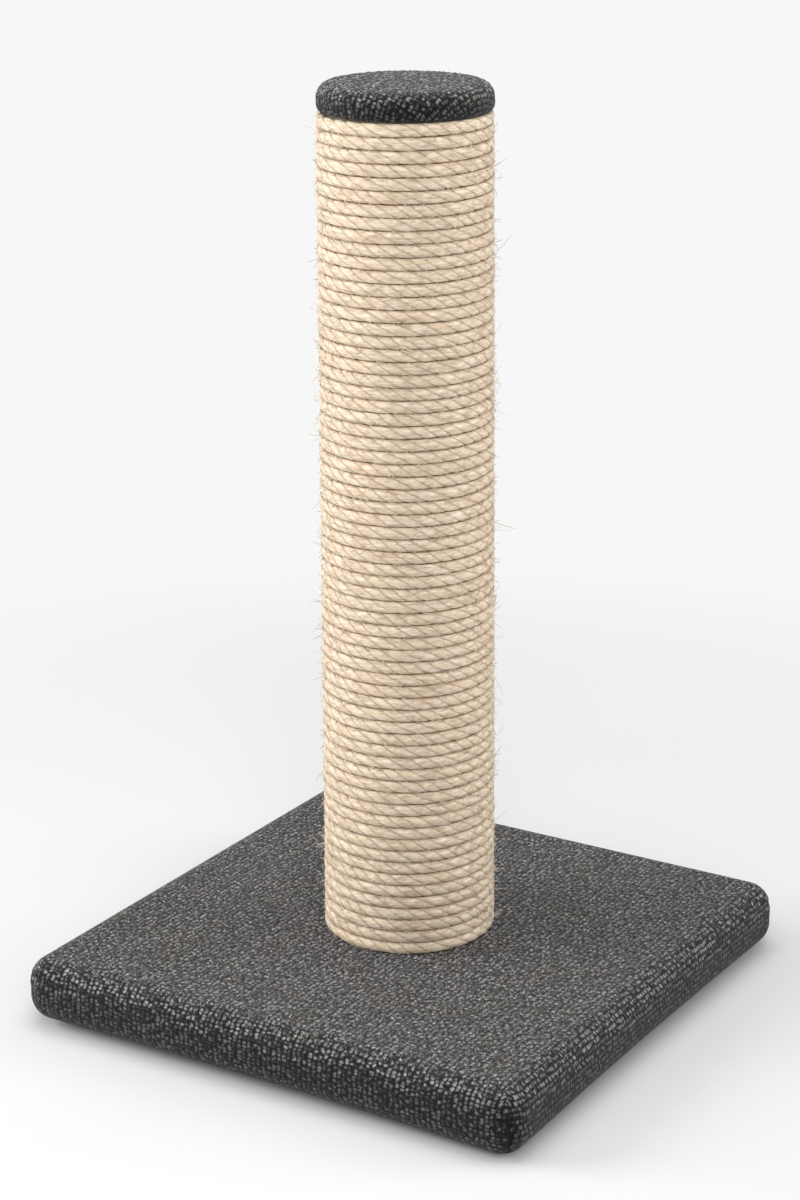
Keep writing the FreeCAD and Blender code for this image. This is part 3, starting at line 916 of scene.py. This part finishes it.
def cloth_finish():
    """Coarse woven melange: columns of nubs of light and dark yarn over a near-black ground. The
    colour also carries painted light and shade: full on tops, darker on sides that face sideways, and
    darker in the corner folds.
    """
    made = Finish("charcoal_cloth")
    flat = made.attribute("flat_cloth")
    wander = made.node("TexNoise", {"Vector": flat, "Scale": 240.0, "Detail": 2.0})
    threads = made.node("VectorMath", {
        0: wander.outputs["Color"], 1: (2.3 * MM, 2.6 * MM, 0.0), 2: flat,
    }, operation="MULTIPLY_ADD").outputs[0]
    lattice = made.scaled(threads, (1 / nub_width, 1 / nub_length, 1.0))
    reach, shade = made.voronoi(lattice, 1.0, 0.65, "2D")
    column = made.math("PINGPONG", made.parts(lattice)[0], 0.5)
    nub = made.times(made.range(reach, 0.64, 0.26), made.range(column, 0.02, 0.20, 0.3, 1.0))
    yarn_width, yarn_length = 0.8 * MM, 3.2 * MM
    strokes = []
    for slant in (-0.14, -0.98):
        slanted = made.scaled(flat, (1.0, 1.0, 1.0), (0.0, 0.0, slant))
        strokes.append(made.noise(made.scaled(slanted, (1 / yarn_width, 1 / yarn_length, 1.0)),
                                  1.0, 2.0))
    yarn = made.range(made.math("MAXIMUM", *strokes), 0.46, 0.66)
    fuzz = made.noise(flat, 1900.0, 2.0)
    facing = made.parts(made.geometry("Normal"))[2]
    flatness = made.range(facing, 0.60, 0.97)
    height = made.times(nub, 0.75, made.times(yarn, 0.3))
    # The dark between the nubs is partly the cloth's dark ground yarn and partly painted shade,
    # standing in for the shadow between nubs.
    lit = made.times(nub, made.times(shade, 0.50, 0.55))
    lit = made.times(lit, made.times(flatness, -0.45, 1.0))
    lit = made.times(yarn, made.times(flatness, 0.38, 0.22), lit)
    lit = made.times(fuzz, 0.30, lit)
    # Painted shade in the folds at the base's corners.
    lit = made.times(lit, painted_fold_shade(made))
    colour = made.ramp(
        made.range(lit, 0.2, 1.35), (0.0, (0.006, 0.0058, 0.0057)), (0.3, (0.016, 0.0155, 0.0154)),
        (0.6, (0.125, 0.1208, 0.1208)), (1.0, (0.48, 0.463, 0.467)),
    )
    # Painted light and shade by facing: tops keep their full colour, sides that face sideways are
    # darkened, and the rounded edge goes over from one to the other.
    painted_facing_light = made.ramp(facing, (0.0, 0.23), (0.15, 0.28), (0.6, 0.64), (0.85, 0.78), (1.0, 1.0))
    colour = made.tinted(colour, painted_facing_light)
    worn = made.range(made.noise(flat, 30.0, 2.0), 0.45, 0.75, 0.0, 0.5)
    colour = made.tinted(colour, (0.96, 0.93, 0.78), worn)
    return made.shade(base_color=colour, roughness=made.range(fuzz, 0.2, 0.8, 0.78, 0.95),
                      sheen_weight=0.09, sheen_roughness=0.45, specular_ior_level=0.2,
                      normal=made.bump(height, 1.0, nub_relief))


def sisal_finish():
    """Straw-coloured fibre, streaked along the rope, with paler, pink and olive stretches, and painted
    shade in the grooves between strands and in the gaps between turns.
    """
    made = Finish("sisal_fibre")
    straight = made.attribute("straight")

    def streaks(width, length, detail=2.0, roughness=0.55):
        return made.noise(made.scaled(straight, (1 / width, 0.0, 1 / length)), 1.0, detail, roughness)

    raised = made.parts(straight)[1]
    crest = made.range(raised, 0.0, 0.75)
    hair = made.range(raised, 0.999, 1.6)
    fine = streaks(0.62 * MM, 8 * MM, 3.0, 0.65)
    broad = streaks(2.0 * MM, 5 * MM)
    hue = streaks(3 * MM, 20 * MM)
    shade = made.times(fine, 1.45, made.times(broad, 1.35))
    # On the rope the crest term is painted shade, darker in the grooves between strands and lighter on
    # their crests; on hairs it is their own paleness.
    shade = made.times(crest, 0.34, shade)
    shade = made.times(hair, 0.45, shade)
    colour = made.ramp(
        made.range(shade, 1.02, 2.38), (0.0, (0.27, 0.185, 0.11)), (0.3, (0.52, 0.405, 0.285)),
        (0.6, (0.71, 0.59, 0.46)), (1.0, (0.90, 0.84, 0.74)),
    )
    # Painted shade in the gaps where one turn meets the next.
    painted_gap_shade = made.range(made.math("ABSOLUTE", made.attribute("pressed", "Fac")), 0.88, 0.98)
    pink = made.range(hue, 0.52, 0.70, 0.0, 0.55)
    olive = made.range(hue, 0.48, 0.30, 0.0, 0.55)
    colour = made.tinted(colour, (0.48, 0.33, 0.19), painted_gap_shade)
    colour = made.tinted(colour, (1.0, 0.87, 0.78), pink)
    colour = made.tinted(colour, (0.93, 0.95, 0.78), olive)
    height = made.times(fine, 1.0, made.times(broad, 0.5))
    return made.shade(base_color=colour, roughness=made.range(fine, 0.2, 0.8, 0.6, 0.85),
                      sheen_weight=0.1, sheen_roughness=0.4, specular_ior_level=0.35,
                      normal=made.bump(height, 0.7, 0.4 * MM))


def wadding_finish():
    made = Finish("wadding")
    tufts = made.noise(made.geometry(), 260.0, 4.0, 0.6)
    colour = made.ramp(tufts, (0.3, (0.62, 0.62, 0.60)), (0.7, (0.86, 0.86, 0.84)))
    return made.shade(base_color=colour, roughness=made.range(tufts, 0.3, 0.7, 0.85, 1.0),
                      sheen_weight=0.4, normal=made.bump(tufts, 0.8, 1.5 * MM))


def board_finish(name, light, dark, flake):
    """Pressed wood flakes of mixed tones."""
    made = Finish(name)
    place = made.geometry()
    flakes = made.scaled(place, (1 / flake, 1 / (0.6 * flake), 1 / (0.4 * flake)))
    grain = made.noise(place, 1500.0, 3.0)
    mixed = made.times(grain, 0.5, made.times(made.voronoi(flakes)[1], 0.6))
    colour = made.ramp(made.range(mixed, 0.15, 0.9), (0.0, dark), (1.0, light))
    return made.shade(base_color=colour, roughness=made.range(grain, 0.3, 0.7, 0.7, 0.9),
                      normal=made.bump(mixed, 0.5, 0.25 * MM))


def ply_finish():
    """Turned wood with its grain along X."""
    made = Finish("turned_wood")
    place = made.geometry()
    rings = made.noise(made.scaled(place, (9.0, 160.0, 160.0)), 1.0, 3.0, 0.6, 0.4)
    pores = made.noise(made.scaled(place, (120.0, 2200.0, 2200.0)), 1.0, 2.0)
    mixed = made.times(rings, 0.8, made.times(pores, 0.25))
    colour = made.ramp(made.range(mixed, 0.3, 0.8), (0.0, (0.42, 0.28, 0.155)),
                       (1.0, (0.70, 0.54, 0.35)))
    return made.shade(base_color=colour, roughness=made.range(pores, 0.3, 0.7, 0.6, 0.8),
                      normal=made.bump(mixed, 0.4, 0.2 * MM))


def cardboard_finish():
    """Wound card with faint slanting joints between its plies."""
    made = Finish("wound_card")
    place = made.geometry()
    x, y, z = made.parts(place)
    turn = made.times(made.math("ARCTAN2", y, x), 1 / (2 * math.pi))
    joint_climb = 90 * MM
    joint = made.math("PINGPONG", made.times(z, 1 / joint_climb, turn), 0.5)
    fibre = made.noise(place, 900.0, 4.0, 0.65)
    colour = made.ramp(fibre, (0.3, (0.30, 0.22, 0.14)), (0.7, (0.46, 0.35, 0.235)))
    colour = made.tinted(colour, made.range(joint, 0.0, 0.012, 0.6, 1.0))
    return made.shade(base_color=colour, roughness=made.range(fibre, 0.3, 0.7, 0.75, 0.95),
                      normal=made.bump(fibre, 0.3, 0.2 * MM))


def rubber_finish():
    made = Finish("black_rubber")
    place = made.geometry()
    speck = made.noise(place, 1800.0, 3.0)
    colour = made.ramp(made.noise(place, 130.0, 3.0), (0.3, 0.016), (0.75, (0.05, 0.048, 0.045)))
    return made.shade(base_color=colour, roughness=made.range(speck, 0.3, 0.7, 0.6, 0.85),
                      specular_ior_level=0.4, normal=made.bump(speck, 0.4, 0.1 * MM))


def steel_finish():
    """Zinc plating with a faint crystal pattern and fine scratches."""
    made = Finish("zinc_steel")
    place = made.geometry()
    crystal = 1.8 * MM
    scratch = made.noise(made.scaled(place, (300.0, 300.0, 2600.0)), 1.0, 3.0)
    mixed = made.times(scratch, 0.6, made.times(made.voronoi(place, 1 / crystal)[1], 0.4))
    colour = made.ramp(mixed, (0.2, (0.50, 0.50, 0.49)), (0.8, (0.72, 0.72, 0.70)))
    return made.shade(base_color=colour, metallic=1.0,
                      roughness=made.range(mixed, 0.2, 0.8, 0.28, 0.5),
                      normal=made.bump(scratch, 0.2, 0.05 * MM))


def floor_finish():
    """Pale floor that keeps the shadow near the object and goes over into the background."""
    made = Finish("pale_floor")
    place = made.geometry()
    made.shade(base_color=made.ramp(made.noise(place, 3.0, 2.0), (0.3, 0.66), (0.7, 0.68)),
               roughness=0.9, specular_ior_level=0.1)
    glow = made.node("Emission", {"Color": white, "Strength": background_tone})
    seen = made.node("LightPath").outputs["Is Camera Ray"]
    away = made.node("VectorMath", {0: place}, operation="LENGTH").outputs["Value"]
    share = made.times(seen, made.range(away, floor_fade_start, floor_fade_end))
    mixed = made.node("MixShader", {0: share, 1: made.shader.outputs[0], 2: glow.outputs[0]})
    made.set(made.tree.nodes["Material Output"].inputs["Surface"], mixed.outputs[0])
    return made.material


def paint(piece, material):
    piece.data.materials.clear()
    piece.data.materials.append(material)


def paint_node(name, material):
    """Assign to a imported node's own material slots."""
    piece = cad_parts[name]
    if not piece.material_slots:
        piece.data.materials.append(material)
    for slot in piece.material_slots:
        slot.material = material


# ---- stage, light and camera ----

white = (1.0, 1.0, 1.0, 1.0)
background_tone = 0.93
fill_strength = 0.42  # of the even light from all round
floor_half = 30.0  # metres
floor_fade_start = 0.22  # metres from the middle
floor_fade_end = 0.75
lamp_target = Vector((0.0, 0.0, 0.16))

camera_azimuth = math.radians(31.857)
camera_elevation = math.radians(18.323)
camera_roll = -0.0064
camera_distance = 1.50523
camera_aside = -0.0042075
camera_target_level = 0.220693
camera_lens = 86.43
camera_sensor = 36.0


def floor():
    corners = [(-floor_half, -floor_half, 0), (floor_half, -floor_half, 0),
               (floor_half, floor_half, 0), (-floor_half, floor_half, 0)]
    piece = in_scene("floor", mesh_of("floor", corners, [(0, 1, 2, 3)]))
    paint(piece, floor_finish())


def direction(azimuth, elevation):
    """From the object: round from its front to its right side, and up."""
    return Vector((math.sin(azimuth) * math.cos(elevation),
                   -math.cos(azimuth) * math.cos(elevation), math.sin(elevation)))


def softbox(name, azimuth, elevation, distance, size, power):
    """Area lamp at an angle in degrees round the object, turned to face its middle."""
    lamp = bpy.data.lights.new(name, "AREA")
    lamp.shape = "RECTANGLE"
    lamp.size, lamp.size_y = size
    lamp.energy = power
    piece = in_scene(name, lamp)
    back = direction(math.radians(azimuth), math.radians(elevation))
    piece.location = lamp_target + back * distance
    piece.rotation_euler = back.to_track_quat("Z", "Y").to_euler()


def backdrop():
    """Even light on the object. The camera and gloss see the pale background instead."""
    world = bpy.data.worlds.new("studio")
    bpy.context.scene.world = world
    world.use_nodes = True
    world.node_tree.nodes.clear()
    made = Nodes(world.node_tree)
    rays = made.node("LightPath").outputs
    seen = made.math("MAXIMUM", rays["Is Camera Ray"], rays["Is Glossy Ray"])
    fill, pale = [made.node("Background", {"Color": white, "Strength": strength}).outputs[0]
                  for strength in (fill_strength, background_tone)]
    mixed = made.node("MixShader", {0: seen, 1: fill, 2: pale}).outputs[0]
    made.node("OutputWorld", {"Surface": mixed})


def lights():
    backdrop()
    softbox("left_softbox", -58, 18, 1.7, (0.9, 1.3), 27.5)
    softbox("right_softbox", 122, 13, 1.7, (0.8, 1.3), 14)
    softbox("front_softbox", 34, 32, 1.7, (0.6, 1.0), 10.5)
    softbox("top_softbox", 31, 84, 1.25, (1.0, 1.0), 9.4)


def camera():
    data = bpy.data.cameras.new("camera")
    data.lens = camera_lens
    data.sensor_width = camera_sensor
    piece = in_scene("camera", data)
    bpy.context.scene.camera = piece
    back = direction(camera_azimuth, camera_elevation)
    right = Vector((math.cos(camera_azimuth), math.sin(camera_azimuth), 0.0))
    up = back.cross(right)
    rolled_right = right * math.cos(camera_roll) + up * math.sin(camera_roll)
    rolled_up = up * math.cos(camera_roll) - right * math.sin(camera_roll)
    turn = Matrix((rolled_right, rolled_up, back)).transposed()
    target = Vector((0, 0, camera_target_level))
    place = target + rolled_right * camera_aside + back * camera_distance
    piece.matrix_world = Matrix.Translation(place) @ turn.to_4x4()


# ---- the whole ----

def main():
    bpy.context.scene.view_settings.view_transform = "Standard"
    camera()
    lights()
    floor()

    cloth = cloth_finish()
    sisal = sisal_finish()
    wadding = wadding_finish()
    steel = steel_finish()
    rubber = rubber_finish()
    wood = ply_finish()
    chipboard = board_finish("chipboard", (0.66, 0.51, 0.33), (0.30, 0.20, 0.11), 3.5 * MM)
    card = cardboard_finish()

    path = RopePath()
    for piece in rope_pieces(path):
        paint(piece, sisal)
    cover = base_cloth()
    paint(cover, cloth)
    cap = cap_cloth()
    paint(cap, cloth)
    base_pad = base_wadding()
    cap_pad = cap_wadding()
    paint(base_pad, wadding)
    paint(cap_pad, wadding)

    for material, names in (
        (chipboard, ["base_board"]),
        (wood, ["cap_disc", "lower_plug", "upper_plug"]),
        (card, ["post_tube"]),
        (rubber, ["foot_front_left", "foot_front_right", "foot_rear_left", "foot_rear_right"]),
        (steel, ["base_staples", "cap_staples", "foot_screws", "base_bolt", "cap_bolt",
                 "base_washer", "spring_washer", "lower_tee_nut", "upper_tee_nut", "plug_pins",
                 "rope_tacks"]),
    ):
        for name in names:
            paint_node(name, material)


main()
